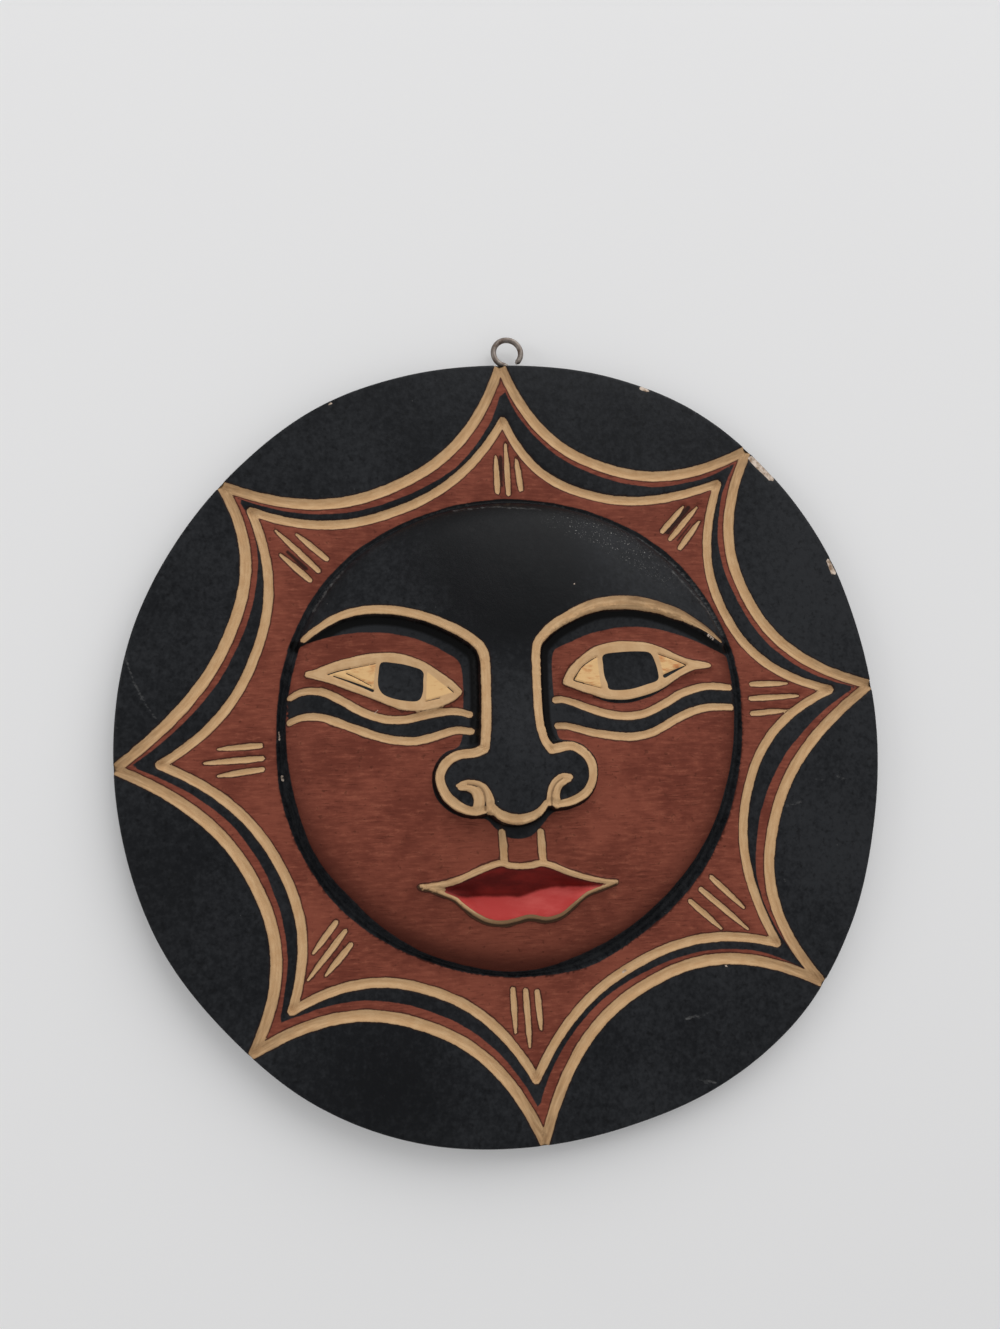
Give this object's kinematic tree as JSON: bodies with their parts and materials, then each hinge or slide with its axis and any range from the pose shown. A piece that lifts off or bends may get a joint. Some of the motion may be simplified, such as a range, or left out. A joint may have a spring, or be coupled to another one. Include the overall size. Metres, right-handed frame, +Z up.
{
  "type": "sun face wall plaque",
  "caption": "Round carved and painted wooden plaque with a sun face, rays and gouged star lines, hung by a small screw eye in its top edge.",
  "frame": {"origin": "middle of the screw eye's ring, which hangs on a nail", "axes": "+Z up, -Y out of the carved front towards the viewer, +Y towards the wall, +X to the viewer's right"},
  "size_m": [0.2362, 0.0279, 0.2509],
  "materials": {
    "painted_wood": "hand-painted in brown, black, tan gold, cream and red, satin",
    "steel_wire": "dull, tarnished"
  },
  "bodies": {
    "root": {"carved_disc": "painted_wood", "screw_eye": "steel_wire"}
  },
  "joints": []
}
